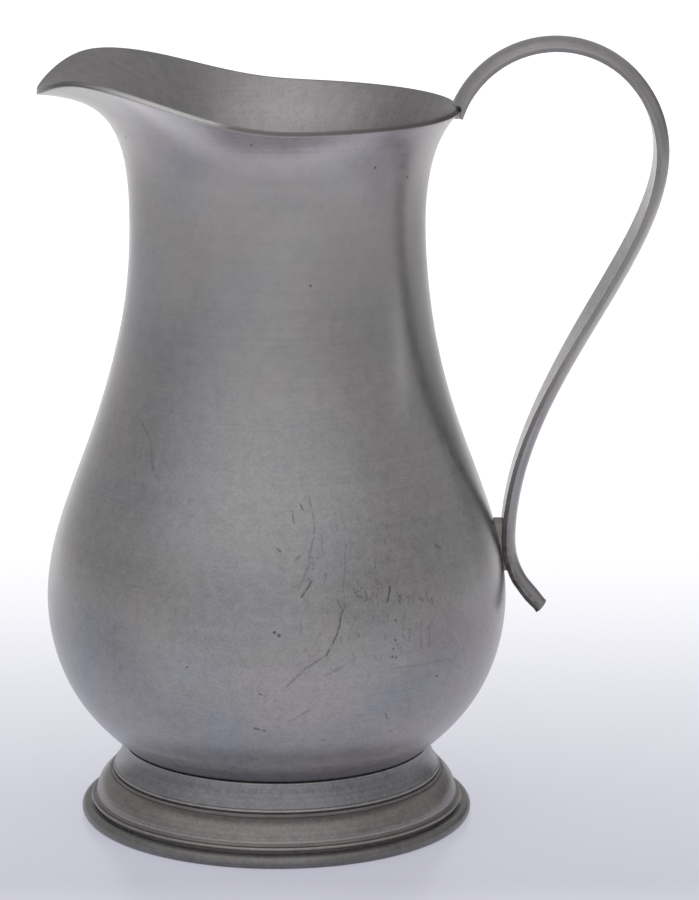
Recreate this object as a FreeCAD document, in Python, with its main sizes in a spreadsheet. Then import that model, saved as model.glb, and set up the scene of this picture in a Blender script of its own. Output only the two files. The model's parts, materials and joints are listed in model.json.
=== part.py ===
import FreeCAD, Part
import math
import os

import Sketcher
from FreeCAD import Vector

# Pewter pitcher: a spun, pot-bellied body with a pulled pouring lip, a stepped foot on a heavy base ring,
# and a bent strap handle, soldered together. Millimetres and degrees, +Z up, +X towards the handle,
# origin on the body's axis in the plane that the base ring stands on.

doc = FreeCAD.newDocument("pewter_pitcher")
dims = doc.addObject("Spreadsheet::Sheet", "dims")

SIZES = {
    # base ring; the spreads of ring and foot are how far their radii go beyond the seam's
    "ring_spread": 12.9,
    "ring_inner_spread": 5.4,
    "ring_height": 4.0,
    "ring_sole_inset": 1.1,
    "ring_shoulder_inset": 2.6,
    # solder between base ring and foot
    "ring_solder_height": 0.4,
    "ring_solder_recess": 0.8,
    "ring_solder_width": 1.6,
    # foot
    "foot_wall": 1.6,
    "flange_spread": 9.7,
    "flange_height": 1.3,
    "flange_bulge": 0.3,
    "step_inset": 0.8,
    "step_height": 0.6,
    "ovolo_foot_spread": 8.5,
    "ovolo_top_spread": 4.3,
    "ovolo_height": 6.8,
    "ovolo_bulge": 1.0,
    "band_inset": 0.35,
    "band_height": 0.9,
    "ridge_height": 1.2,
    "ridge_bulge": 0.45,
    "collar_foot_spread": 2.9,
    "collar_height": 7.0,
    "collar_hollow": 0.35,
    # solder between foot and body
    "seam_gap": 0.5,
    "seam_recess": 0.4,
    "seam_slack": 0.08,
    "seam_fillet": 1.5,
    # body wall from the foot seam to the rim, its radii, and the shares of its height where they lie
    "wall": 1.6,
    "body_height": 192.0,
    "seam_radius": 46.1,
    "floor_inset": 12.1,
    "floor_drop": 5.8,
    "heel_radius": 60.9,
    "heel_share": 0.0833,
    "belly_radius": 68.85,
    "belly_share": 0.2281,
    "shoulder_radius": 56.5,
    "shoulder_share": 0.4781,
    "throat_radius": 47.2,
    "throat_share": 0.6448,
    "neck_radius": 43.7,
    "neck_share": 0.8271,
    # mouth, its curve's pulls as shares of the height from neck to rim
    "rim_radius": 53.6,
    "rim_flare": 46.0,
    "rim_pull_share": 0.241,
    "neck_pull_share": 0.542,
    # pouring lip
    "lip_reach": 70.6,
    "lip_fullness": 2.6,
    "lip_flare": 87.0,
    "lip_rim_pull_share": 0.572,
    "lip_neck_pull_share": 0.934,
    "lip_start": 80.0,
    "crest_angle": 155.0,
    "crest_rise": 11.7,
    "tip_half_angle": 35.0,
    "tip_dip": 7.6,
    # handle
    "arch_radius": 28.8,
    "arch_tilt": 22.1,
    "arch_end": 38.0,
    "rim_web": 1.3,
    "rim_fit": 0.1,
    "strap_drop": 2.5,
    "strap_thickness": 4.2,
    "strap_edge": 1.3,
    "strap_chamfer": 0.9,
    "run_upper_pull_share": 0.3187,
    "run_lower_pull_share": 0.4094,
    "upper_width": 11.6,
    "grip_width": 21.8,
    "grip_place": 0.48,
    "grip_end": 0.86,
    "lower_width": 11.4,
    "tail_width": 10.5,
    "pad_share": 0.3234,
    "pad_clearance": 0.2,
    "tail_radius": 25.7,
    "tail_turn": 40.0,
    "tail_length": 7.0,
    # solder of the handle
    "pad_solder_width": 8.0,
    "pad_solder_above": 5.5,
    "pad_solder_below": 9.0,
    "rim_solder_width": 9.0,
    "rim_solder_height": 2.2,
}

for row, (alias, number) in enumerate(SIZES.items(), start=1):
    dims.set(f"A{row}", alias)
    dims.set(f"B{row}", str(number))
    dims.setAlias(f"B{row}", alias)
doc.recompute()


def size(alias):
    return float(getattr(dims, alias))


def evaluate(expression):
    return float(dims.evalExpression(expression))


# Heights of the foot, each the one below plus a size of the sheet

FOOT_BASE = "dims.ring_height + dims.ring_solder_height"
FLANGE_TOP = FOOT_BASE + " + dims.flange_height"
OVOLO_FOOT = FLANGE_TOP + " + dims.step_height"
OVOLO_TOP = OVOLO_FOOT + " + dims.ovolo_height"
BAND_TOP = OVOLO_TOP + " + dims.band_height"
RIDGE_TOP = BAND_TOP + " + dims.ridge_height"
COLLAR_TOP = RIDGE_TOP + " + dims.collar_height"
SEAM_HEIGHT = COLLAR_TOP + " + dims.seam_gap"

seam_height = evaluate(SEAM_HEIGHT)
rim_height = seam_height + size("body_height")


# Turned pieces: a closed outline in the XZ plane, revolved about Z


def turned_piece(label, outline):
    """Revolve an outline of (x, z, bulge) rows; a bulge bows the side that starts at its row outwards."""
    body = doc.addObject("PartDesign::Body", label)
    body.Label = label
    plane = next(item for item in body.Origin.OriginFeatures if item.Role == "XZ_Plane")
    sketch = body.newObject("Sketcher::SketchObject", label + "_outline")
    sketch.AttachmentSupport = [(plane, "")]
    sketch.MapMode = "FlatFace"
    corners = [Vector(evaluate(x), evaluate(z), 0) for x, z, bulge in outline]
    count = len(outline)
    for index, (x, z, bulge) in enumerate(outline):
        start = corners[index]
        end = corners[(index + 1) % count]
        if bulge:
            side = end - start
            outward = Vector(side.y, -side.x, 0).normalize()
            middle = (start + end) * 0.5 + outward * evaluate(bulge)
            geometry = Part.Arc(start, middle, end)
        else:
            geometry = Part.LineSegment(start, end)
        sketch.addGeometry(geometry)
    ends = []
    for index in range(count):
        first = Vector(sketch.getPoint(index, 1))
        ends.append((1, 2) if first.isEqual(corners[index], 1e-6) else (2, 1))
    for index, (x, z, bulge) in enumerate(outline):
        following = (index + 1) % count
        start_point = ends[index][0]
        joint = Sketcher.Constraint("Coincident", index, ends[index][1], following, ends[following][0])
        sketch.addConstraint(joint)
        for kind, expression in (("DistanceX", x), ("DistanceY", z)):
            place = Sketcher.Constraint(kind, -1, 1, index, start_point, evaluate(expression))
            number = sketch.addConstraint(place)
            sketch.setExpression(f"Constraints[{number}]", expression)
    for index, (x, z, bulge) in enumerate(outline):
        if bulge:
            next_x, next_z, next_bulge = outline[(index + 1) % count]
            chord = f"(({next_x}) - ({x}))^2 + (({next_z}) - ({z}))^2"
            radius = f"({chord} + 4 * ({bulge})^2) / (8 * sqrt(({bulge})^2))"
            number = sketch.addConstraint(Sketcher.Constraint("Radius", index, evaluate(radius)))
            sketch.setExpression(f"Constraints[{number}]", radius)
    turn = body.newObject("PartDesign::Revolution", label + "_turn")
    turn.Profile = sketch
    turn.ReferenceAxis = (sketch, ["V_Axis"])
    turn.Angle = 360.0
    body.Tip = turn
    return body


# Body shell


def ramp(x):
    """Smooth step from 0 to 1."""
    x = min(max(x, 0.0), 1.0)
    return x * x * x * (10.0 - 15.0 * x + 6.0 * x * x)


def lip_share(angle):
    """How far the mouth at this angle from the handle is drawn into the pouring lip, from 0 to 1."""
    return ((1.0 - math.cos(math.radians(angle))) / 2.0) ** size("lip_fullness")


def mixed(start, end, share):
    """Size this share of the way from one size of the sheet to another."""
    return size(start) + (size(end) - size(start)) * share


def height_on_body(share):
    return seam_height + size("body_height") * size(share)


def rim_point(angle):
    """Radius and height of the mouth's outer edge."""
    radius = mixed("rim_radius", "lip_reach", lip_share(angle))
    crest = ramp((angle - size("lip_start")) / (size("crest_angle") - size("lip_start")))
    from_tip = min((180.0 - angle) / size("tip_half_angle"), 1.0)
    dip = math.cos(math.radians(90.0 * from_tip)) ** 2
    return radius, rim_height + size("crest_rise") * crest - size("tip_dip") * dip


def wall_points(angle):
    """Points up the outer wall at this angle from the handle, and its direction at the rim."""
    share = lip_share(angle)
    lip = share ** 3
    radius, height = rim_point(angle)
    flare = math.radians(mixed("rim_flare", "lip_flare", lip))
    neck = Vector(size("neck_radius"), 0, height_on_body("neck_share"))
    neck_pull = mixed("neck_pull_share", "lip_neck_pull_share", share) * (rim_height - neck.z)
    rim_pull = mixed("rim_pull_share", "lip_rim_pull_share", share) * (rim_height - neck.z)
    leaving = Vector(math.sin(flare), 0, math.cos(flare))
    rim = Vector(radius, 0, height)
    mouth_curve = Part.BezierCurve()
    mouth_curve.setPoles([neck, neck + Vector(0, 0, neck_pull), rim - leaving * rim_pull, rim])
    points = [
        Vector(size("seam_radius") - size("floor_inset"), 0, seam_height - size("floor_drop")),
        Vector(size("seam_radius"), 0, seam_height),
    ]
    for place in ("heel", "belly", "shoulder", "throat"):
        points.append(Vector(size(place + "_radius"), 0, height_on_body(place + "_share")))
    points += [mouth_curve.value(step / MOUTH_STEPS) for step in range(MOUTH_STEPS + 1)]
    return points, leaving


def chord_lengths(points):
    """Length along the polygon of points up to each of them."""
    lengths = [0.0]
    for start, end in zip(points, points[1:]):
        lengths.append(lengths[-1] + (end - start).Length)
    return lengths


def wall_curve(points, leaving):
    """Curve through the points, level at the floor's edge, with the same parameters at every angle."""
    last_pace = (points[-1] - points[-2]).Length / (WALL_KNOTS[-1] - WALL_KNOTS[-2])
    curve = Part.BSplineCurve()
    curve.interpolate(
        Points=points,
        Parameters=WALL_KNOTS,
        InitialTangent=Vector(1, 0, 0),
        FinalTangent=leaving * last_pace,
        Scale=False,
    )
    return curve


def inner_wall(outer):
    """The same curve one wall thickness further in."""
    points = []
    for knot in WALL_KNOTS:
        along = outer.tangent(knot)[0]
        points.append(outer.value(knot) + Vector(-along.z, 0, along.x) * size("wall"))
    return wall_curve(points, outer.tangent(WALL_KNOTS[-1])[0])


def wall_face(curves):
    """Closed smooth face round the axis whose half-plane sections are the given curves."""
    count = len(curves)
    step = 2.0 * math.pi / count
    swell = 3.0 / (2.0 + math.cos(step))
    poles = []
    for index, curve in enumerate(curves):
        turn = FreeCAD.Rotation(Vector(0, 0, 1), math.degrees(index * step))
        poles.append([turn.multVec(Vector(p.x * swell, 0, p.z)) for p in curve.getPoles()])
    surface = Part.BSplineSurface()
    surface.buildFromPolesMultsKnots(
        poles,
        [1] * (count + 1),
        curves[0].getMultiplicities(),
        list(range(count + 1)),
        curves[0].getKnots(),
        True,
        False,
        3,
        3,
    )
    return surface.toShape()


def round_edges(face):
    """The face's lower and upper closed edges."""
    loops = [edge for edge in face.Edges if edge.isClosed() and edge.BoundBox.XLength > size("wall")]
    loops.sort(key=lambda edge: edge.BoundBox.ZMin)
    return loops[0], loops[-1]


MOUTH_STEPS = 6
WALL_COLUMNS = 48
HANDLE_SIDE = chord_lengths(wall_points(0.0)[0])
LIP_SIDE = chord_lengths(wall_points(180.0)[0])
WALL_KNOTS = [(near + far) / 2.0 for near, far in zip(HANDLE_SIDE, LIP_SIDE)]


def body_shell():
    angles = [360.0 * column / WALL_COLUMNS for column in range(WALL_COLUMNS)]
    outer_curves = [wall_curve(*wall_points(min(angle, 360.0 - angle))) for angle in angles]
    outer = wall_face(outer_curves)
    inner = wall_face([inner_wall(curve) for curve in outer_curves])
    outer_floor, outer_rim = round_edges(outer)
    inner_floor, inner_rim = round_edges(inner)
    faces = [outer, inner, Part.makeRuledSurface(outer_rim, inner_rim)]
    faces += [Part.Face(Part.Wire([edge])) for edge in (outer_floor, inner_floor)]
    shell = Part.makeShell(faces)
    shell.sewShape()
    solid = Part.makeSolid(shell)
    return solid if solid.Volume > 0 else solid.reversed()


def wall_radius(height):
    """Outer radius of the body at this height, on the handle's side."""
    level = Part.LineSegment(Vector(0, 0, height), Vector(2.0 * size("belly_radius"), 0, height))
    return handle_side_wall.intersectCC(level)[0].X


handle_side_wall = wall_curve(*wall_points(0.0))
seam_along = handle_side_wall.tangent(WALL_KNOTS[1])[0]
seam_slope = seam_along.z / seam_along.x


# Foot, base ring and their solder


def under_body(inset, below):
    """Height, as an expression, that lies below the body's slanted underside at this inset from the seam."""
    return f"{SEAM_HEIGHT} - ({inset}) * {seam_slope:.9f} - ({below})"


RING_RADIUS = "dims.seam_radius + dims.ring_spread"
RING_INNER_RADIUS = "dims.seam_radius + dims.ring_inner_spread"
RING_BULGE = "(dims.ring_sole_inset + dims.ring_shoulder_inset) / 2"
FLANGE_RADIUS = "dims.seam_radius + dims.flange_spread"
OVOLO_FOOT_RADIUS = "dims.seam_radius + dims.ovolo_foot_spread"
OVOLO_TOP_RADIUS = "dims.seam_radius + dims.ovolo_top_spread"
BAND_RADIUS = OVOLO_TOP_RADIUS + " - dims.band_inset"
COLLAR_FOOT_RADIUS = "dims.seam_radius + dims.collar_foot_spread"
FOOT_INNER = OVOLO_FOOT_RADIUS + " - dims.foot_wall"
SEAM_INNER = "dims.seam_radius - dims.foot_wall"
SEAM_FILLET_INSET = "dims.foot_wall + dims.seam_fillet"
SOLDER_OUTER = FLANGE_RADIUS + " - dims.ring_solder_recess"
SOLDER_INNER = SOLDER_OUTER + " - dims.ring_solder_width"

foot_base_ring = turned_piece(
    "foot_base_ring",
    [
        (RING_INNER_RADIUS, "0", ""),
        (RING_RADIUS + " - dims.ring_sole_inset", "0", RING_BULGE),
        (RING_RADIUS + " - dims.ring_shoulder_inset", "dims.ring_height", ""),
        (RING_INNER_RADIUS, "dims.ring_height", ""),
    ],
)

ring_seam_solder = turned_piece(
    "ring_seam_solder",
    [
        (SOLDER_INNER, "dims.ring_height", ""),
        (SOLDER_OUTER, "dims.ring_height", ""),
        (SOLDER_OUTER, FOOT_BASE, ""),
        (SOLDER_INNER, FOOT_BASE, ""),
    ],
)

foot_dome = turned_piece(
    "foot_dome",
    [
        (FLANGE_RADIUS, FOOT_BASE, "dims.flange_bulge"),
        (FLANGE_RADIUS, FLANGE_TOP, ""),
        (FLANGE_RADIUS + " - dims.step_inset", FLANGE_TOP, ""),
        (OVOLO_FOOT_RADIUS, OVOLO_FOOT, "dims.ovolo_bulge"),
        (OVOLO_TOP_RADIUS, OVOLO_TOP, ""),
        (BAND_RADIUS, OVOLO_TOP, ""),
        (BAND_RADIUS, BAND_TOP, ""),
        (COLLAR_FOOT_RADIUS, BAND_TOP, "dims.ridge_bulge"),
        (COLLAR_FOOT_RADIUS, RIDGE_TOP, "-dims.collar_hollow"),
        ("dims.seam_radius", COLLAR_TOP, ""),
        (SEAM_INNER, under_body("dims.foot_wall", "dims.seam_gap"), ""),
        (COLLAR_FOOT_RADIUS + " - dims.foot_wall", BAND_TOP, ""),
        (FOOT_INNER, OVOLO_FOOT, ""),
        (FOOT_INNER, FOOT_BASE, ""),
    ],
)

foot_seam_solder = turned_piece(
    "foot_seam_solder",
    [
        (
            "dims.seam_radius - dims.seam_recess",
            under_body("dims.seam_recess", "dims.seam_gap - dims.seam_slack"),
            "",
        ),
        ("dims.seam_radius - dims.seam_recess", under_body("dims.seam_recess", "dims.seam_slack"), ""),
        (
            "dims.seam_radius - (" + SEAM_FILLET_INSET + ")",
            under_body(SEAM_FILLET_INSET, "dims.seam_slack"),
            "",
        ),
        (
            SEAM_INNER + " - dims.seam_slack",
            under_body("dims.foot_wall", "dims.seam_gap + dims.seam_fillet"),
            "",
        ),
        (
            SEAM_INNER + " - dims.seam_slack",
            under_body("dims.foot_wall + dims.seam_slack", "dims.seam_gap - dims.seam_slack"),
            "",
        ),
    ],
)


# Handle: a strap of D-shaped section, flat side inwards, along a path in the XZ plane


def heading(angle):
    """Direction at this angle above level, in degrees from +X towards +Z."""
    return Vector(math.cos(math.radians(angle)), 0, math.sin(math.radians(angle)))


def tail_bow(below):
    """How far the tail has bent away from upright at this depth below the pad."""
    radius = size("tail_radius")
    return radius - math.sqrt(radius * radius - below * below)


def pad_place():
    """Where the strap's flat side stands upright beside the belly, clear of the wall down to the tail."""
    height = height_on_body("pad_share")
    tail_foot = height - size("tail_radius") * math.sin(math.radians(size("tail_turn")))
    first, last = WALL_KNOTS[0], WALL_KNOTS[-1]
    reach = 0.0
    for step in range(PAD_SEARCH_STEPS + 1):
        point = handle_side_wall.value(first + (last - first) * step / PAD_SEARCH_STEPS)
        if tail_foot < point.z < rim_height:
            reach = max(reach, point.x - tail_bow(max(height - point.z, 0.0)))
    return Vector(reach + size("pad_clearance"), 0, height)


def blend(start, end, share):
    return start + (end - start) * (1.0 - math.cos(math.pi * share)) / 2.0


def arch_width(share):
    return size("upper_width")


def run_width(share):
    """Widens from the arch to the grip, then narrows to the lower width."""
    grip, grip_end = size("grip_place"), size("grip_end")
    if share < grip:
        return blend(size("upper_width"), size("grip_width"), share / grip)
    return blend(size("grip_width"), size("lower_width"), min((share - grip) / (grip_end - grip), 1.0))


def bend_width(share):
    return blend(size("lower_width"), size("tail_width"), share)


def tail_width(share):
    return size("tail_width")


def strap_path():
    """Curves of the strap's flat side from rim to tail, each with its section count and widths."""
    radius = size("arch_radius")
    rim = Vector(size("rim_radius"), 0, rim_height)
    centre = rim + heading(-size("arch_tilt")) * (radius + size("rim_web"))
    start = 180.0 - math.degrees(math.asin((rim_height - size("strap_drop") - centre.z) / radius))
    end = size("arch_end")
    on_arch = [centre + heading(angle) * radius for angle in (start, (start + end) / 2.0, end)]
    down = Vector(0, 0, -1)
    run_start, pad = on_arch[-1], pad_place()
    run = Part.BezierCurve()
    run_length = (pad - run_start).Length
    upper_pole = run_start + heading(end - 90.0) * run_length * size("run_upper_pull_share")
    lower_pole = pad - down * run_length * size("run_lower_pull_share")
    run.setPoles([run_start, upper_pole, lower_pole, pad])
    bend_centre = pad + Vector(size("tail_radius"), 0, 0)
    turns = (size("tail_turn") / 2.0, size("tail_turn"))
    on_bend = [bend_centre - heading(turn) * size("tail_radius") for turn in turns]
    tail_end = on_bend[-1] + heading(size("tail_turn") - 90.0) * size("tail_length")
    return [
        (Part.Arc(*on_arch), ARCH_SECTION_COUNT, arch_width),
        (run, RUN_SECTION_COUNT, run_width),
        (Part.Arc(pad, *on_bend), BEND_SECTION_COUNT, bend_width),
        (Part.LineSegment(on_bend[-1], tail_end), TAIL_SECTION_COUNT, tail_width),
    ]


def strap_section(place, along, width):
    """Flat inside with chamfered edges, rounded outside."""
    outer = Vector(-along.z, 0, along.x)
    half = Vector(0, width / 2.0, 0)
    flat = half - Vector(0, size("strap_chamfer"), 0)
    edge = place + outer * size("strap_edge")
    crown = Part.Arc(edge + half, place + outer * size("strap_thickness"), edge - half)
    sides = [
        Part.LineSegment(place - flat, place + flat),
        Part.LineSegment(place + flat, edge + half),
        crown,
        Part.LineSegment(edge - half, place - flat),
    ]
    return Part.Wire([side.toShape() for side in sides])


def rim_seat():
    """Round room for the rim, a fit wider and higher than it."""
    return Part.makeCylinder(size("rim_radius") + size("rim_fit"), rim_top + size("rim_fit"))


def strap():
    """Smooth strap along the path, its upper end cut to sit round the rim."""
    sections = []
    for curve, count, width in strap_path():
        for step in range(1 if sections else 0, count + 1):
            share = step / count
            place = curve.FirstParameter + (curve.LastParameter - curve.FirstParameter) * share
            sections.append(strap_section(curve.value(place), curve.tangent(place)[0], width(share)))
    return Part.makeLoft(sections, True, False).cut(rim_seat())


# Solder of the handle


def plate(points, width):
    """Plate of this width across the handle, from an outline in the XZ plane."""
    flat = Part.Face(Part.makePolygon(points + points[:1]))
    flat.translate(Vector(0, -width / 2.0, 0))
    return flat.extrude(Vector(0, width, 0))


def levels(low, high):
    return [low + (high - low) * step / SOLDER_STEPS for step in range(SOLDER_STEPS + 1)]


def in_wall(height):
    """Point in the middle of the body's wall at this height."""
    return Vector(wall_radius(height) - size("wall") / 2.0, 0, height)


def pad_solder():
    """Solder in the wedge between the belly and the strap's flat side."""
    pad = pad_place()
    heights = levels(pad.z - size("pad_solder_below"), pad.z + size("pad_solder_above"))
    strap_side = []
    for height in heights:
        bow = tail_bow(max(pad.z - height, 0.0))
        strap_side.append(Vector(pad.x + bow + size("strap_edge"), 0, height))
    belly_side = [in_wall(height) for height in reversed(heights)]
    return plate(strap_side + belly_side, size("pad_solder_width"))


def rim_solder():
    """Solder in the corner between the flared rim and the end of the strap."""
    high = rim_height - size("rim_fit")
    low = high - size("rim_solder_height")
    outside = size("rim_radius") + size("rim_fit")
    corners = [Vector(outside, 0, high), Vector(outside, 0, low)]
    wedge = plate(corners + [in_wall(height) for height in levels(low, high)], size("rim_solder_width"))
    return wedge.common(rim_seat())


PAD_SEARCH_STEPS = 200
ARCH_SECTION_COUNT = 14
RUN_SECTION_COUNT = 14
BEND_SECTION_COUNT = 5
TAIL_SECTION_COUNT = 2
SOLDER_STEPS = 8

rim_top = rim_height + size("wall") * math.sin(math.radians(size("rim_flare")))


def piece(label, shape):
    feature = doc.addObject("Part::Feature", label)
    feature.Label = label
    feature.Shape = shape
    feature.Placement = FreeCAD.Placement()
    return feature


shell = piece("body_shell", body_shell())
handle_strap = piece("handle_strap", strap())
joined = [shell.Shape, handle_strap.Shape]
handle_pad_solder = piece("handle_pad_solder", pad_solder().cut(joined))
handle_rim_solder = piece("handle_rim_solder", rim_solder().cut(joined))

# Checks and files

doc.recompute()
PIECES = [
    shell,
    foot_dome,
    foot_base_ring,
    foot_seam_solder,
    ring_seam_solder,
    handle_strap,
    handle_pad_solder,
    handle_rim_solder,
]
for item in doc.Objects:
    if "Invalid" in item.State or "Error" in item.State:
        raise RuntimeError(f"{item.Label} failed: {item.State}")
for item in PIECES:
    if item.Shape.isNull() or not item.Shape.isValid():
        raise RuntimeError(f"{item.Label} has no valid shape")

os.makedirs("parts", exist_ok=True)
for item in PIECES:
    item.Shape.exportStep(os.path.join("parts", item.Label + ".step"))
    print(item.Label, len(item.Shape.Solids), "solid,", round(item.Shape.Volume / 1000.0, 2), "cm3")
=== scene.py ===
import json
import math

import bpy
from mathutils import Matrix, Vector

# Spun pewter pitcher on a pale floor, seen as in a studio photograph. Metres, Z up, handle towards +X.

# Camera, as fitted to the photograph: place, degrees, then lens and sensor in millimetres
CAMERA_PLACE = (0.0, -1.208, 0.3918)
CAMERA_YAW = 1.025
CAMERA_PITCH = 13.043
CAMERA_ROLL = 0.33
CAMERA_LENS = 166.0
SENSOR_HEIGHT = 36.0
CAMERA_SIGHT = 50.0

# Heights of the turned foot's steps, and its flange's radius
RING_TOP = 0.0040
FLANGE_FOOT = 0.0044
FLANGE_TOP = 0.0057
OVOLO_FOOT = 0.0063
OVOLO_TOP = 0.0131
BAND_TOP = 0.0140
RIDGE_TOP = 0.0152
SEAM_HEIGHT = 0.0227
FLANGE_RADIUS = 0.0561

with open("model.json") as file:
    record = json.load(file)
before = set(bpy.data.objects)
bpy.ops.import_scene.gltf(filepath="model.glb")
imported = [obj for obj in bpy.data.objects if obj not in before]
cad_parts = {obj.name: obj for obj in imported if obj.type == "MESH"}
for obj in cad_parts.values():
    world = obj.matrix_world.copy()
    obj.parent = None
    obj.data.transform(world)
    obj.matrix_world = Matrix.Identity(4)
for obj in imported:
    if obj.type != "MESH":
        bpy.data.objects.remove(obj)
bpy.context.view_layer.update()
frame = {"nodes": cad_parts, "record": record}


# Node helpers

# Inputs of the mix node that belong to colours
MIX_SOCKETS = {"Factor": 0, "A": 6, "B": 7}
MIX_RESULT = 2


def node(tree, kind, inputs=None, **settings):
    """New shader node with its settings, and its inputs set to values or linked to sockets."""
    made = tree.nodes.new("ShaderNode" + kind)
    for name, value in settings.items():
        setattr(made, name, value)
    for key, value in (inputs or {}).items():
        if isinstance(value, bpy.types.NodeSocket):
            tree.links.new(value, made.inputs[key])
        else:
            made.inputs[key].default_value = value
    return made


def calc(tree, operation, *values):
    return node(tree, "Math", dict(enumerate(values)), operation=operation).outputs[0]


def vector_calc(tree, operation, *values, result="Vector"):
    return node(tree, "VectorMath", dict(enumerate(values)), operation=operation).outputs[result]


def along(tree, vector, direction):
    """Dot product of a vector and a direction."""
    return vector_calc(tree, "DOT_PRODUCT", vector, direction, result="Value")


def product(tree, total, *shares):
    for share in shares:
        total = calc(tree, "MULTIPLY", total, share)
    return total


def weighted(tree, shares, start, weights):
    """A start plus each named share times its weight."""
    total = start
    for name, weight in weights.items():
        total = calc(tree, "MULTIPLY_ADD", shares[name], weight, total)
    return total


def fade(tree, value, start, end, smooth=True):
    """0 where the value is at start or before it, 1 at end or past it."""
    kind = "SMOOTHSTEP" if smooth else "LINEAR"
    inputs = {"Value": value, "From Min": start, "From Max": end, "To Min": 0.0, "To Max": 1.0}
    return node(tree, "MapRange", inputs, interpolation_type=kind, clamp=True).outputs["Result"]


def span(tree, value, low, high, edge):
    """1 between low and high, falling to 0 within an edge on both sides."""
    rise = fade(tree, value, low - edge, low + edge)
    fall = fade(tree, value, high + edge, high - edge)
    return product(tree, rise, fall)


def zone(tree, parts, bounds):
    """Share of a zone: along each axis a fade between two bounds, or a span of low, high and edge."""
    shares = []
    for axis, limits in bounds.items():
        limit = span if len(limits) == 3 else fade
        shares.append(limit(tree, parts[axis], *limits))
    return product(tree, *shares)


def zones(tree, parts, named_bounds):
    return {name: zone(tree, parts, bounds) for name, bounds in named_bounds.items()}


def noise(tree, place, cells, detail, roughness):
    """Noise from 0 to 1 with so many cells per metre along each axis."""
    scaled = vector_calc(tree, "MULTIPLY", place, cells)
    inputs = {"Vector": scaled, "Scale": 1.0, "Detail": detail, "Roughness": roughness}
    return node(tree, "TexNoise", inputs).outputs["Fac"]


def patchy(tree, place, cells, detail, low=0.3, high=0.7, roughness=0.6):
    """Noise whose range from low to high is stretched to 0 to 1."""
    return fade(tree, noise(tree, place, cells, detail, roughness), low, high, smooth=False)


def patches(tree, place, named_noises):
    return {name: patchy(tree, place, *settings) for name, settings in named_noises.items()}


def mix(tree, share, under, over, blend="MIX"):
    made = node(tree, "Mix", data_type="RGBA", blend_type=blend)
    for name, value in (("Factor", share), ("A", under), ("B", over)):
        socket = made.inputs[MIX_SOCKETS[name]]
        if isinstance(value, bpy.types.NodeSocket):
            tree.links.new(value, socket)
        else:
            socket.default_value = value
    return made.outputs[MIX_RESULT]


def tint(tree, share, start, end):
    """Colour between two colours."""
    return mix(tree, share, (*start, 1.0), (*end, 1.0))


def paint(tree, colour, share, over):
    """Lay a colour over another by a share."""
    return mix(tree, share, colour, (*over, 1.0))


def shade(tree, colour, factor):
    """Colour times a grey."""
    grey = node(tree, "CombineColor", {0: factor, 1: factor, 2: factor}).outputs["Color"]
    return mix(tree, 1.0, colour, grey, "MULTIPLY")


def new_material(name):
    material = bpy.data.materials.new(name)
    material.use_nodes = True
    tree = material.node_tree
    tree.nodes.clear()
    output = node(tree, "OutputMaterial")
    shader = node(tree, "BsdfPrincipled", {"Metallic": 1.0})
    tree.links.new(shader.outputs["BSDF"], output.inputs["Surface"])
    return material, tree, shader


def object_place(tree):
    return node(tree, "TexCoord").outputs["Object"]


def parts_of(tree, vector):
    """A vector's X, Y and Z by name."""
    return node(tree, "SeparateXYZ", {"Vector": vector}).outputs


def from_axis(tree, place):
    """Level vector from the body's axis to a place."""
    return vector_calc(tree, "MULTIPLY", place, (1.0, 1.0, 0.0))


def connect(tree, shader, **sockets):
    for name, socket in sockets.items():
        tree.links.new(socket, shader.inputs[name.replace("_", " ")])


def soft_edges(tree, radius):
    """Normal with the edges rounded."""
    return node(tree, "Bevel", {"Radius": radius}, samples=4).outputs["Normal"]


def relief(tree, height, distance, edges):
    inputs = {"Height": height, "Distance": distance, "Strength": 1.0, "Normal": edges}
    return node(tree, "Bump", inputs).outputs["Normal"]


# Pewter

COOL = (0.350, 0.351, 0.370)
OLIVE = (0.361, 0.357, 0.357)
WARM = (0.378, 0.358, 0.362)
# Dark colour of stains and specks, also used for the darkened rim edge and for painted shade on the
# handle's low end
STAIN_AND_SHADE = (0.12, 0.115, 0.11)
MARK = (0.07, 0.065, 0.06)

# Broad patches of these greys: cells per metre, detail and roughness, then where each next grey sets in
TINT_NOISE = ((30.0, 30.0, 30.0), 2.0, 0.5)
OLIVE_FROM = (0.4, 0.47)
WARM_FROM = (0.5, 0.6)


def pewter_tints(tree, place, lean):
    """Cool, olive and warm greys in broad patches; lean moves them towards warm."""
    warmth = calc(tree, "ADD", noise(tree, place, *TINT_NOISE), lean)
    colour = tint(tree, fade(tree, warmth, *OLIVE_FROM), COOL, OLIVE)
    return paint(tree, colour, fade(tree, warmth, *WARM_FROM), WARM)


# Marks on the body

MILLIMETRE = 0.001

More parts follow.
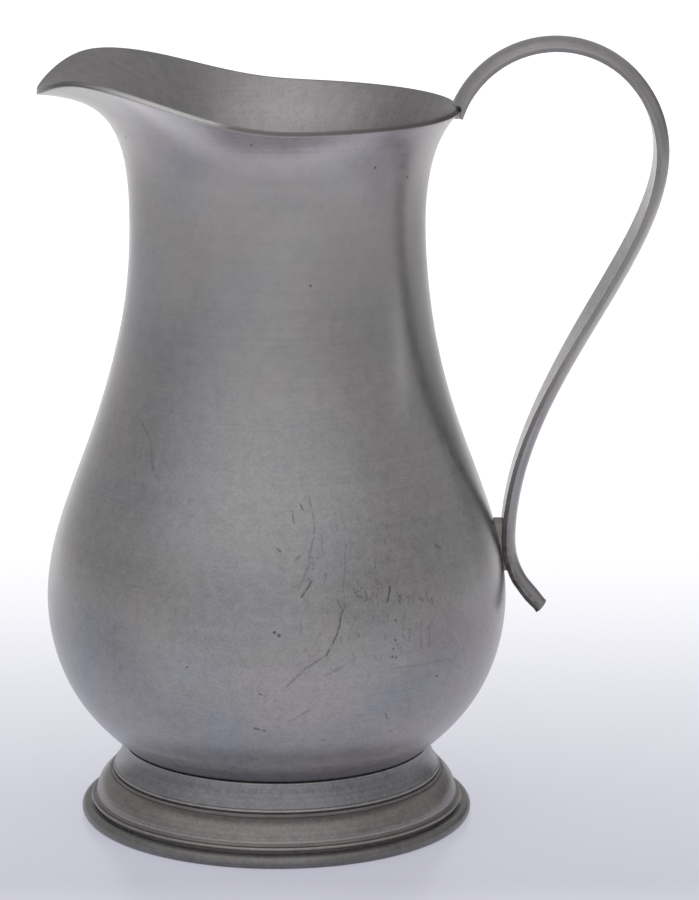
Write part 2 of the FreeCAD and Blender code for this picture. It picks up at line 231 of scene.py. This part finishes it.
# Scratches on the front of the belly: points across and up in millimetres, width, darkness
SCRATCHES = [
    ([(19.7, 98.0), (19.2, 88.0), (19.0, 80.0)], 0.35, 0.35),
    ([(19.0, 80.0), (17.0, 73.0), (14.3, 67.5)], 0.45, 0.85),
    ([(14.3, 67.5), (8.4, 63.8), (2.6, 58.0)], 0.5, 0.45),
    ([(17.3, 82.7), (18.9, 79.8)], 0.4, 0.5),
    ([(19.6, 81.4), (18.9, 79.8)], 0.4, 0.5),
    ([(19.4, 78.2), (22.0, 72.5)], 0.35, 0.25),
    ([(9.3, 111.0), (10.8, 103.0), (9.7, 97.0), (7.7, 89.0), (4.7, 86.7)], 0.5, 0.4),
    ([(9.6, 94.0), (6.2, 86.5)], 0.4, 0.3),
    ([(9.8, 88.5), (7.1, 84.3)], 0.5, 0.8),
    ([(13.9, 90.2), (13.5, 87.9)], 0.5, 0.5),
    ([(32.4, 85.0), (31.7, 81.1)], 0.5, 0.9),
    ([(28.8, 84.9), (28.4, 82.7)], 0.45, 0.45),
    ([(35.5, 82.2), (35.3, 80.2)], 0.5, 0.7),
    ([(38.0, 81.8), (38.2, 79.1)], 0.45, 0.35),
    ([(43.2, 81.8), (43.8, 78.9)], 0.5, 0.4),
    ([(22.7, 83.8), (24.3, 83.3)], 0.5, 0.45),
    ([(4.3, 107.6), (4.8, 104.5)], 0.45, 0.5),
    ([(6.6, 109.5), (7.2, 108.0)], 0.5, 0.6),
    ([(5.1, 94.2), (6.6, 95.6)], 0.5, 0.5),
    ([(41.5, 74.3), (41.6, 66.6)], 0.45, 0.35),
    ([(44.0, 72.1), (44.1, 66.2)], 0.45, 0.35),
    ([(33.5, 61.4), (50.3, 60.3)], 0.35, 0.25),
    ([(-4.8, 55.9), (-3.2, 55.3)], 0.5, 0.7),
    ([(-6.4, 44.5), (-3.5, 43.6)], 0.5, 0.85),
    ([(3.7, 46.8), (9.5, 50.6)], 0.45, 0.35),
    ([(-39.6, 128.3), (-36.6, 123.6), (-35.9, 115.7)], 0.6, 0.3),
    ([(22.2, 84.6), (23.4, 84.9)], 0.45, 0.5),
    ([(25.2, 84.6), (25.9, 82.6)], 0.45, 0.5),
    ([(26.6, 82.3), (27.6, 84.4)], 0.45, 0.45),
    ([(34.4, 83.3), (35.6, 81.4)], 0.45, 0.5),
    ([(36.6, 80.9), (37.6, 81.6)], 0.45, 0.45),
    ([(39.4, 82.0), (39.2, 79.8)], 0.4, 0.4),
    ([(41.0, 80.9), (42.0, 79.6)], 0.45, 0.45),
    ([(44.6, 79.8), (45.2, 78.2)], 0.45, 0.4),
    ([(14.4, 61.4), (16.2, 62.4), (18.6, 63.4)], 0.9, 0.3),
    ([(-0.4, 97.8), (1.0, 96.8)], 0.55, 0.6),
    ([(46.2, 93.9), (47.3, 92.7)], 0.6, 0.55),
    ([(31.4, 46.8), (32.0, 44.8)], 0.6, 0.5),
    ([(36.4, 76.0), (36.2, 70.4)], 0.45, 0.3),
    ([(38.6, 73.5), (38.0, 69.0)], 0.45, 0.3),
]

# Dots there: across, up and radius in millimetres, darkness
DOTS = [
    (-0.6, 74.4, 0.65, 1.0),
    (0.7, 73.5, 0.7, 1.0),
    (25.4, 82.2, 0.55, 0.7),
    (34.0, 75.5, 0.6, 0.8),
    (34.0, 69.8, 0.55, 0.8),
    (34.6, 68.4, 0.5, 0.7),
    (35.5, 67.1, 0.4, 0.5),
    (33.5, 67.3, 0.5, 0.7),
    (33.3, 64.9, 0.55, 0.7),
    (34.2, 64.5, 0.5, 0.6),
    (32.8, 40.3, 0.5, 0.6),
]

# Shares of a scratch's width and of a dot's radius that are fully dark
SCRATCH_CORE = 0.2
DOT_CORE = 0.4

# Waver of the scratches in metres, and its noise
WAVER = 0.0016
WAVER_NOISE = ((220.0, 220.0, 220.0), 4.0, 0.7)

# Breaks in the scratches: their noise, and where it breaks and shows them
BREAK_NOISE = ((800.0, 800.0, 800.0), 2.0, 0.55)
BREAK_RANGE = (0.3, 0.52)

# Small dashes between the scratches: where they lie, their noise and darkness
SCUFFED = {"X": (0.006, 0.042, 0.008), "Z": (0.062, 0.108, 0.01)}
SCUFF_NOISE = ((800.0, 800.0, 330.0), 2.0, 0.58, 0.74)
SCUFF_DARKNESS = 0.45

FRONT = {"Y": (-0.005, -0.015)}

# Pits all over: cells per metre, size and share of the cells that have one
PIT_CELLS = 110.0
PIT_SIZE = 0.06
PIT_SHARE = 0.25


def scratch(tree, flat, start, end, width, darkness):
    """Straight stroke between two points, soft across and at its ends; flat is (across, 1, up)."""
    start = Vector((start[0], 0.0, start[1])) * MILLIMETRE
    end = Vector((end[0], 0.0, end[1])) * MILLIMETRE
    width = width * MILLIMETRE
    lengthwise = (end - start).normalized()
    sideways = Vector((-lengthwise.z, 0.0, lengthwise.x))
    middle = (start + end) / 2.0
    half_length = (end - start).length / 2.0
    share = darkness
    for direction, reach in ((lengthwise, half_length), (sideways, 0.0)):
        from_middle = direction - Vector((0.0, direction.dot(middle), 0.0))
        away = calc(tree, "ABSOLUTE", along(tree, flat, from_middle))
        share = product(tree, fade(tree, away, reach + width, reach + SCRATCH_CORE * width), share)
    return share


def scratches(tree, place, flat):
    """Broken strokes along the lines of all the scratches."""
    total = 0.0
    for points, width, darkness in SCRATCHES:
        for start, end in zip(points, points[1:]):
            total = calc(tree, "MAXIMUM", scratch(tree, flat, start, end, width, darkness), total)
    return product(tree, total, fade(tree, noise(tree, place, *BREAK_NOISE), *BREAK_RANGE))


def dot(tree, flat, across, up, radius, darkness):
    centre = Vector((across * MILLIMETRE, 1.0, up * MILLIMETRE))
    radius = radius * MILLIMETRE
    away = vector_calc(tree, "DISTANCE", flat, centre, result="Value")
    return product(tree, fade(tree, away, radius, DOT_CORE * radius), darkness)


def marks(tree, place):
    """Scratches, dashes and dots as a share of darkness."""
    parts = parts_of(tree, place)
    waver = calc(tree, "MULTIPLY_ADD", noise(tree, place, *WAVER_NOISE), WAVER, -WAVER / 2.0)
    across = calc(tree, "ADD", parts["X"], waver)
    flat = node(tree, "CombineXYZ", {"X": across, "Y": 1.0, "Z": parts["Z"]}).outputs["Vector"]
    scuffs = product(tree, patchy(tree, place, *SCUFF_NOISE), zone(tree, parts, SCUFFED))
    scuffs = product(tree, scuffs, SCUFF_DARKNESS)
    total = calc(tree, "MAXIMUM", scuffs, scratches(tree, place, flat))
    for settings in DOTS:
        total = calc(tree, "MAXIMUM", dot(tree, flat, *settings), total)
    return product(tree, total, zone(tree, parts, FRONT))


def pits(tree, place):
    """Small round pits in a share of the cells."""
    cell = node(tree, "TexVoronoi", {"Vector": place, "Scale": PIT_CELLS})
    chosen = node(tree, "SeparateColor", {"Color": cell.outputs["Color"]}).outputs[0]
    pit = fade(tree, cell.outputs["Distance"], PIT_SIZE, DOT_CORE * PIT_SIZE)
    return product(tree, pit, calc(tree, "LESS_THAN", chosen, PIT_SHARE))


# Body

BODY_EDGE = 0.0008
RIM_BEND = 0.003
BODY_RELIEF = 0.000008
BRUSHING = 0.45
BRUSHING_TURN = 0.25

# Noises of the body: cells per metre along X, Y and Z, detail, and the range that is stretched
BODY_NOISES = {
    "clouds": ((38.0, 38.0, 38.0), 4.0),
    "blotches": ((330.0, 330.0, 330.0), 3.0),
    "grain": ((1200.0, 1200.0, 1500.0), 2.0),
    "lines": ((6.0, 6.0, 1300.0), 3.0),
    "bands": ((3.0, 3.0, 160.0), 3.0),
    "streaks": ((300.0, 300.0, 14.0), 3.0),
    "specks": ((1000.0, 1000.0, 1000.0), 2.0, 0.54, 0.72),
}

# Zones of the body in metres along each axis: a fade's two bounds, or a span's low, high and edge
BODY_ZONES = {
    "heel": {"Z": (0.06, 0.028)},
    "above_seam": {"Z": (0.0265, 0.033, 0.004)},
    "waist": {"Z": (0.06, 0.095, 0.012)},
    "low_belly": {"Z": (0.062, 0.075, 0.006)},
    "low_half": {"Z": (0.16, 0.11)},
    "upper_part": {"Z": (0.15, 0.21)},
    "neck": {"Z": (0.145, 0.193, 0.012)},
    "left_neck": {"X": (-0.036, -0.027, 0.006), "Z": (0.14, 0.17)},
    # Near the handle, and the strip of the neck where the handle is mirrored: both lifted by painted
    # light
    "near_handle": {"X": (0.03, 0.036), "Z": (0.135, 0.212, 0.012)},
    "lit_handle_reflection": {"X": (0.0345, 0.0375, 0.0025), "Z": (0.135, 0.205, 0.012)},
    "flare": {"Z": (0.195, 0.2)},
    "rim": {"Z": (0.202, 0.207)},
    # Front under the rim, lifted by painted light
    "painted_light_rim_front": {"Z": (0.2, 0.211), "Y": (-0.038, -0.049)},
    "lip_side": {"X": (-0.005, -0.03)},
    "inner_middle": {"X": (-0.012, 0.014, 0.02)},
}

# Fades by how far the rounded normal points away from the axis
INSIDE_FACING = (0.1, -0.1)
RIM_FACING = (0.25, 0.6)

# Fades by how far it points up along the rim's edge, which the lip lifts, and by how the rim bends it
RIM_EDGE_FOOT = (-0.1, 0.1)
RIM_EDGE_TOP = (0.95, 0.75)
LIP_LIFT = 0.5
RIM_BENDING = (1.0, 0.85)

# Sums of shares: a start, and the weight of each share
BODY_LEAN = (0.0, {"across": 2.0, "upper_part": 0.1, "inside": 0.15})
FINE_TEXTURE = (-0.06, {"blotches": 0.05, "grain": 0.13})
BODY_TEXTURE = (
    0.8,
    {"clouds": 0.09, "blotches": 0.09, "lines": 0.06, "bands": 0.03, "low_fine": 1.0, "grain": 0.06},
)
# Outside tone: painted light lifts the front under the rim and the neck near the handle, where the
# handle is mirrored; painted shade darkens the strip under the rim. The heel, above the seam and the
# neck's left side are lighter, the waist, low belly and neck darker.
OUTER_TONE_AND_PAINTED_LIGHT = (
    1.0,
    {
        "heel": 0.2,
        "above_seam": 0.4,
        "waist": -0.09,
        "low_belly": -0.06,
        "neck": -0.06,
        "painted_light_rim_front": 0.62,
        "left_neck": 0.1,
        "near_handle": 0.14,
        "lit_handle_reflection": 0.3,
        "painted_shade_below_rim": -0.16,
    },
)
INNER_TONE = (0.79, {"inner_middle": 0.32, "streaks": 0.12})
BODY_STAIN = (0.0, {"inner_specks": 0.24, "rim_edge": 0.85})
MARK_STRENGTH = 0.75
BODY_ROUGHNESS = (
    0.26,
    {"blotches": 0.06, "lines": 0.03, "worn": 0.15, "above_seam": 0.12, "near_handle": 0.05},
)
BODY_HEIGHT = (0.0, {"lines": 1.0, "grain": 0.4})


def rim_edge(tree, shares, edges, facing_out):
    """Outer edge of the rim, darkened where its rounding faces up and outwards; narrower at the lip."""
    facing_up = parts_of(tree, edges)["Z"]
    lifted = calc(tree, "MULTIPLY_ADD", shares["lip_side"], LIP_LIFT, facing_up)
    edge = product(tree, fade(tree, facing_up, *RIM_EDGE_FOOT), fade(tree, lifted, *RIM_EDGE_TOP))
    return product(tree, edge, shares["rim"], fade(tree, facing_out, *RIM_FACING))


def painted_shade_below_rim(tree, shares):
    """Painted shade in a narrow strip under the rim, where a wide rounding would bend the surface."""
    normal = node(tree, "NewGeometry").outputs["Normal"]
    bent = along(tree, soft_edges(tree, RIM_BEND), normal)
    return product(tree, fade(tree, bent, *RIM_BENDING), shares["flare"])


def body_tone(tree, shares):
    """How light the body is: its texture times the tone of its zones, outside and inside; the outside's
    tone holds painted light and shade.
    """
    fine = weighted(tree, shares, *FINE_TEXTURE)
    shares["low_fine"] = product(tree, fine, shares["low_half"])
    texture = weighted(tree, shares, *BODY_TEXTURE)
    outer = weighted(tree, shares, *OUTER_TONE_AND_PAINTED_LIGHT)
    inner = weighted(tree, shares, *INNER_TONE)
    change = calc(tree, "SUBTRACT", inner, outer)
    return product(tree, texture, calc(tree, "MULTIPLY_ADD", change, shares["inside"], outer))


def pewter_body():
    """Brushed sheet with turned lines, zones of tone with painted light and shade, a streaked inside,
    scratches and pits.
    """
    material, tree, shader = new_material("pewter_body")
    place = object_place(tree)
    parts = parts_of(tree, place)
    edges = soft_edges(tree, BODY_EDGE)
    facing_out = along(tree, edges, vector_calc(tree, "NORMALIZE", from_axis(tree, place)))

    shares = patches(tree, place, BODY_NOISES)
    shares.update(zones(tree, parts, BODY_ZONES))
    shares["across"] = parts["X"]
    shares["inside"] = fade(tree, facing_out, *INSIDE_FACING)
    shares["inner_specks"] = product(tree, shares["specks"], shares["inside"])
    shares["rim_edge"] = rim_edge(tree, shares, edges, facing_out)
    shares["painted_shade_below_rim"] = painted_shade_below_rim(tree, shares)
    shares["worn"] = calc(tree, "MAXIMUM", marks(tree, place), pits(tree, place))

    colour = pewter_tints(tree, place, weighted(tree, shares, *BODY_LEAN))
    colour = shade(tree, colour, body_tone(tree, shares))
    colour = paint(tree, colour, weighted(tree, shares, *BODY_STAIN), STAIN_AND_SHADE)
    colour = paint(tree, colour, product(tree, shares["worn"], MARK_STRENGTH), MARK)
    rough = weighted(tree, shares, *BODY_ROUGHNESS)
    height = weighted(tree, shares, *BODY_HEIGHT)
    around = node(tree, "Tangent", direction_type="RADIAL", axis="Z").outputs["Tangent"]
    shader.inputs["Anisotropic"].default_value = BRUSHING
    shader.inputs["Anisotropic Rotation"].default_value = BRUSHING_TURN
    connect(tree, shader, Base_Color=colour, Roughness=rough, Tangent=around)
    connect(tree, shader, Normal=relief(tree, height, BODY_RELIEF, edges))
    return material


# Foot and base ring

BROWNISH = (0.290, 0.270, 0.264)
BLUISH = (0.270, 0.273, 0.290)
RING_TINT = (0.232, 0.225, 0.218)
CLOUDED = (0.25, 0.25, 0.262)
# Painted light for the groove between ring and flange and the solder in it
GROOVE_LIGHT = (0.5, 0.49, 0.48)
# Light grey of painted highlights and wear on the turned edges
WORN_AND_LIT = (0.52, 0.515, 0.51)
DIRT = (0.12, 0.11, 0.085)

TURNED_EDGE = 0.0003
TURNED_RELIEF = 0.00001
TINT_EDGE = 0.0003
WEAR_EDGE = 0.00015
DIRT_EDGE = 0.0003
CLOUDED_FROM = (0.5, 1.0)
CLOUDED_SHARE = 0.4

# Groove between base ring and flange, painted lighter as painted light against its shade: its span of
# height, and the fade at its mouth
GROOVE_UP = (RING_TOP - 0.0003, FLANGE_FOOT + 0.0002, 0.0001)
GROOVE_MOUTH = (FLANGE_RADIUS + 0.0003, FLANGE_RADIUS)

# Heights of dirty corners on the foot, and of its edges lightened by painted highlights and wear
FOOT_DIRT = [
    (FLANGE_TOP - 0.0001, OVOLO_FOOT + 0.0002),
    (OVOLO_TOP - 0.0003, BAND_TOP),
]
FOOT_WEAR_AND_HIGHLIGHTS = [
    (FLANGE_TOP - 0.0004, FLANGE_TOP),
    (OVOLO_FOOT + 0.0004, OVOLO_FOOT + 0.0007),
    (OVOLO_FOOT + 0.0014, OVOLO_FOOT + 0.0016),
    (BAND_TOP + 0.0002, RIDGE_TOP - 0.0002),
    (SEAM_HEIGHT - 0.0009, SEAM_HEIGHT - 0.0004),
]

TURNED_NOISES = {
    "clouds": ((70.0, 70.0, 70.0), 4.0),
    "mottle": ((420.0, 420.0, 420.0), 3.0),
    "grain": ((1300.0, 1300.0, 1300.0), 2.0),
    "lines": ((9.0, 9.0, 1700.0), 3.0),
}
TURNED_TEXTURE = (0.53, {"clouds": 0.12, "mottle": 0.2, "grain": 0.2, "lines": 0.16})
WEAR_STRENGTH = (0.1, {"lines": 0.3, "mottle": 0.25})
DIRT_STRENGTH = (0.0, {"clouds": 0.45, "mottle": 0.2})
TURNED_ROUGHNESS = (0.27, {"mottle": 0.1, "dirt": 0.25})
TURNED_HEIGHT = (0.0, {"lines": 1.0, "mottle": 0.5, "grain": 0.4})


def bands_at(tree, height, spans, edge):
    """1 within any of the spans of height."""
    total = 0.0
    for low, high in spans:
        total = calc(tree, "MAXIMUM", span(tree, height, low, high, edge), total)
    return total


def lit_groove(tree, place, height):
    radius = vector_calc(tree, "LENGTH", from_axis(tree, place), result="Value")
    return product(tree, span(tree, height, *GROOVE_UP), fade(tree, radius, *GROOVE_MOUTH))


def turned(name, low_tint, high_tint, change, dirty, bright):
    """Turned pewter, its tint changing at a height, with tool lines, dirt in corners and edges
    lightened by painted highlights and wear.
    """
    material, tree, shader = new_material(name)
    place = object_place(tree)
    up = parts_of(tree, place)["Z"]
    shares = patches(tree, place, TURNED_NOISES)
    # Painted highlights and wear on the bright edges
    wear_and_highlight = product(tree, bands_at(tree, up, bright, WEAR_EDGE), weighted(tree, shares, *WEAR_STRENGTH))
    dirt = product(tree, bands_at(tree, up, dirty, DIRT_EDGE), weighted(tree, shares, *DIRT_STRENGTH))
    shares["dirt"] = dirt
    clouded = product(tree, fade(tree, shares["clouds"], *CLOUDED_FROM), CLOUDED_SHARE)

    colour = tint(tree, fade(tree, up, change - TINT_EDGE, change + TINT_EDGE), low_tint, high_tint)
    colour = paint(tree, colour, clouded, CLOUDED)
    colour = shade(tree, colour, weighted(tree, shares, *TURNED_TEXTURE))
    # Painted light in the groove under the flange
    colour = paint(tree, colour, lit_groove(tree, place, up), GROOVE_LIGHT)
    colour = paint(tree, colour, wear_and_highlight, WORN_AND_LIT)
    colour = paint(tree, colour, dirt, DIRT)
    rough = weighted(tree, shares, *TURNED_ROUGHNESS)
    height = weighted(tree, shares, *TURNED_HEIGHT)
    connect(tree, shader, Base_Color=colour, Roughness=rough)
    connect(tree, shader, Normal=relief(tree, height, TURNED_RELIEF, soft_edges(tree, TURNED_EDGE)))
    return material


# Handle

HANDLE_EDGE = 0.0004
HANDLE_RELIEF = 0.00001
HANDLE_LEAN = 0.12

HANDLE_NOISES = {
    "clouds": ((60.0, 60.0, 60.0), 4.0),
    "mottle": ((420.0, 420.0, 420.0), 3.0),
    "grain": ((60.0, 1500.0, 60.0), 3.0),
}

# Faces of the strap by the direction of the rounded normal, and its stretches by height
HANDLE_FACES = {
    "inner_face": {"X": (-0.5, -0.7)},
    "side": {"Y": (-0.62, -0.8)},
    "outer_face": {"X": (0.5, 0.9)},
}
HANDLE_ZONES = {
    "grip": {"Z": (0.152, 0.178, 0.012)},
    "lower_part": {"Z": (0.1, 0.15, 0.01)},
    "below_arch": {"Z": (0.2, 0.18)},
    "low_end": {"Z": (0.10, 0.075)},
}

HANDLE_TEXTURE = (0.8, {"clouds": 0.12, "mottle": 0.14, "grain": 0.18})
# Painted shade on the palm and the crown, painted light on the lower side face
HANDLE_PAINTED_LIGHT_AND_SHADE = (1.0, {"palm": -0.3, "low_side": 0.3, "crown": -0.17})
# Low end of the strap's side face: stains mixed with painted shade
SIDE_STAIN_AND_SHADE = (0.0, {"low_end": 0.6, "mottle": 0.12})
STAIN_FROM = (0.1, 0.7)
HANDLE_ROUGHNESS = (0.26, {"mottle": 0.08, "stain": 0.2})
HANDLE_HEIGHT = (0.0, {"grain": 1.0, "mottle": 0.6})


def pewter_handle():
    """Drawn strap with grain along it; painted shade darkens the palm and the crown, painted light
    lifts the lower side, and stains with painted shade darken its low end.
    """
    material, tree, shader = new_material("pewter_handle")
    place = object_place(tree)
    edges = soft_edges(tree, HANDLE_EDGE)
    shares = patches(tree, place, HANDLE_NOISES)
    shares.update(zones(tree, parts_of(tree, edges), HANDLE_FACES))
    shares.update(zones(tree, parts_of(tree, place), HANDLE_ZONES))
    shares["palm"] = product(tree, shares["inner_face"], shares["grip"])
    shares["low_side"] = product(tree, shares["side"], shares["lower_part"])
    shares["crown"] = product(tree, shares["outer_face"], shares["below_arch"])
    stained = product(tree, shares["side"], weighted(tree, shares, *SIDE_STAIN_AND_SHADE))
    shares["stain"] = product(tree, stained, fade(tree, shares["mottle"], *STAIN_FROM))

    colour = pewter_tints(tree, place, HANDLE_LEAN)
    colour = shade(tree, colour, weighted(tree, shares, *HANDLE_TEXTURE))
    colour = shade(tree, colour, weighted(tree, shares, *HANDLE_PAINTED_LIGHT_AND_SHADE))
    colour = paint(tree, colour, shares["stain"], STAIN_AND_SHADE)
    rough = weighted(tree, shares, *HANDLE_ROUGHNESS)
    height = weighted(tree, shares, *HANDLE_HEIGHT)
    connect(tree, shader, Base_Color=colour, Roughness=rough)
    connect(tree, shader, Normal=relief(tree, height, HANDLE_RELIEF, edges))
    return material


# Solder

SEAM_TINTS = ((0.05, 0.045, 0.04), (0.13, 0.12, 0.11))
JOINT_TINTS = ((0.2, 0.19, 0.18), (0.38, 0.36, 0.35))
SOLDER_EDGE = 0.0003
SOLDER_RELIEF = 0.0001
SOLDER_NOISES = {"lumps": ((500.0, 500.0, 350.0), 4.0)}
SOLDER_ZONES = {
    # Solder in the ring's groove gets painted light
    "lit_ring_seam": {"Z": (0.009, 0.006)},
    "at_handle": {"Z": (0.03, 0.05)},
    "lit_at_rim": {"Z": (0.15, 0.2)},
}
# Solder at the rim is lightened by painted light against the shade of its gap
JOINT_TONE_AND_LIGHT = (1.0, {"lit_at_rim": 0.6})
SOLDER_ROUGHNESS = (0.35, {"lumps": 0.15})


def solder():
    """Lumpy solder: painted light makes it pale in the ring's groove; near black under the belly,
    brownish grey at the handle, lifted by painted light at the rim.
    """
    material, tree, shader = new_material("solder")
    place = object_place(tree)
    shares = patches(tree, place, SOLDER_NOISES)
    shares.update(zones(tree, parts_of(tree, place), SOLDER_ZONES))
    seam = tint(tree, shares["lumps"], *SEAM_TINTS)
    seam = paint(tree, seam, shares["lit_ring_seam"], GROOVE_LIGHT)
    joint = tint(tree, shares["lumps"], *JOINT_TINTS)
    joint = shade(tree, joint, weighted(tree, shares, *JOINT_TONE_AND_LIGHT))
    colour = mix(tree, shares["at_handle"], seam, joint)
    rough = weighted(tree, shares, *SOLDER_ROUGHNESS)
    edges = soft_edges(tree, SOLDER_EDGE)
    connect(tree, shader, Base_Color=colour, Roughness=rough)
    connect(tree, shader, Normal=relief(tree, shares["lumps"], SOLDER_RELIEF, edges))
    return material


# Finish of each piece

FINISHES = {
    "pewter_body": pewter_body(),
    "pewter_foot": turned("pewter_foot", BROWNISH, BLUISH, RIDGE_TOP, FOOT_DIRT, FOOT_WEAR_AND_HIGHLIGHTS),
    "pewter_ring": turned("pewter_ring", RING_TINT, RING_TINT, RING_TOP, [], []),
    "pewter_handle": pewter_handle(),
    "solder": solder(),
}
for subpart in frame["record"]["subparts"]:
    piece = frame["nodes"][subpart["node"]]
    piece.data.materials.clear()
    piece.data.materials.append(FINISHES[subpart["material_slot"]])


# Studio

FLOOR_SIZE = 12.0
FLOOR_CENTRE = (0.0, 2.0, 0.0)
FLOOR_PAINT = (0.38, 0.38, 0.385)
FLOOR_ROUGHNESS = 0.22

# Glowing tones of the floor from front to back, with painted light and shade: a painted shadow just
# around the pitcher, a brighter band in front of it, rising to white behind: place along Y in metres,
# colour
FLOOR_TONES = [
    (-0.6, (0.44, 0.44, 0.46)),
    (-0.25, (0.52, 0.52, 0.54)),
    (-0.16, (0.59, 0.59, 0.62)),
    (-0.1, (0.41, 0.41, 0.47)),
    (-0.07, (0.33, 0.33, 0.40)),
    (0.01, (0.39, 0.39, 0.46)),
    (0.12, (0.50, 0.50, 0.56)),
    (0.25, (0.67, 0.67, 0.71)),
    (0.45, (0.85, 0.85, 0.85)),
]

# Painted shade on the floor off to the sides, and under the darker gap at the back right
SIDE_SHADE = (0.36, 0.36, 0.37)
SIDE_FROM = (0.3, 0.65)
GAP_SHADE = (0.16, 0.16, 0.17)
GAP_ZONE = {"X": (0.6, 1.1), "Y": (0.7, 1.2)}

# Soft light all round: its level, a brighter field above the camera, a darker gap at the back right
FIELD_DIRECTION = (-0.14, -0.66, 0.74)
FIELD_FROM = (0.3, 1.0)
GAP_DIRECTION = (0.62, 0.78, 0.05)
GAP_FROM = (0.92, 0.985)
SURROUND = (0.47, {"field": 0.36, "gap": -0.25})


def painted_floor_light(tree):
    """Painted light and shade of the floor: rising from lavender grey in front to white behind, with a
    painted shadow around the pitcher and painted shade at the sides and under the gap.
    """
    parts = parts_of(tree, node(tree, "NewGeometry").outputs["Position"])
    front = FLOOR_TONES[0][0]
    back = FLOOR_TONES[-1][0]
    ramp = node(tree, "ValToRGB", {"Fac": fade(tree, parts["Y"], front, back, smooth=False)})
    stops = ramp.color_ramp.elements
    while len(stops) < len(FLOOR_TONES):
        stops.new(0.5)
    for stop, (place, colour) in zip(stops, FLOOR_TONES):
        stop.position = (place - front) / (back - front)
        stop.color = (*colour, 1.0)
    aside = fade(tree, calc(tree, "ABSOLUTE", parts["X"]), *SIDE_FROM)
    tone = paint(tree, ramp.outputs["Color"], aside, SIDE_SHADE)
    return paint(tree, tone, zone(tree, parts, GAP_ZONE), GAP_SHADE)


def floor():
    """Pale floor that glows with its painted light and shade for the camera and in reflections."""
    bpy.ops.mesh.primitive_plane_add(size=FLOOR_SIZE, location=FLOOR_CENTRE)
    plane = bpy.context.object
    plane.name = "floor"
    material, tree, shader = new_material("floor")
    path = node(tree, "LightPath")
    seen = calc(tree, "MAXIMUM", path.outputs["Is Camera Ray"], path.outputs["Is Glossy Ray"])
    seen = calc(tree, "MAXIMUM", seen, path.outputs["Is Transmission Ray"])
    shader.inputs["Metallic"].default_value = 0.0
    shader.inputs["Base Color"].default_value = (*FLOOR_PAINT, 1.0)
    shader.inputs["Roughness"].default_value = FLOOR_ROUGHNESS
    connect(tree, shader, Emission_Color=painted_floor_light(tree), Emission_Strength=seen)
    plane.data.materials.append(material)


def surround():
    world = bpy.data.worlds.new("surround")
    bpy.context.scene.world = world
    world.use_nodes = True
    tree = world.node_tree
    tree.nodes.clear()
    direction = node(tree, "TexCoord").outputs["Generated"]
    shares = {
        "field": fade(tree, along(tree, direction, FIELD_DIRECTION), *FIELD_FROM),
        "gap": fade(tree, along(tree, direction, GAP_DIRECTION), *GAP_FROM),
    }
    level = weighted(tree, shares, *SURROUND)
    shine = node(tree, "Background", {"Color": (1.0, 1.0, 1.0, 1.0), "Strength": level})
    output = node(tree, "OutputWorld")
    tree.links.new(shine.outputs[0], output.inputs["Surface"])


def camera():
    data = bpy.data.cameras.new("camera")
    data.sensor_fit = "VERTICAL"
    data.sensor_height = SENSOR_HEIGHT
    data.lens = CAMERA_LENS
    data.clip_end = CAMERA_SIGHT
    holder = bpy.data.objects.new("camera", data)
    bpy.context.scene.collection.objects.link(holder)
    yaw, pitch, roll = (math.radians(angle) for angle in (CAMERA_YAW, CAMERA_PITCH, CAMERA_ROLL))
    ahead = Vector((math.sin(yaw) * math.cos(pitch), math.cos(yaw) * math.cos(pitch), -math.sin(pitch)))
    level = Vector((math.cos(yaw), -math.sin(yaw), 0.0))
    raised = level.cross(ahead)
    right = level * math.cos(roll) + raised * math.sin(roll)
    up = raised * math.cos(roll) - level * math.sin(roll)
    turn = Matrix((right, up, -ahead)).transposed().to_4x4()
    holder.matrix_world = Matrix.Translation(CAMERA_PLACE) @ turn
    bpy.context.scene.camera = holder


floor()
surround()
camera()
bpy.context.scene.view_settings.view_transform = "Standard"
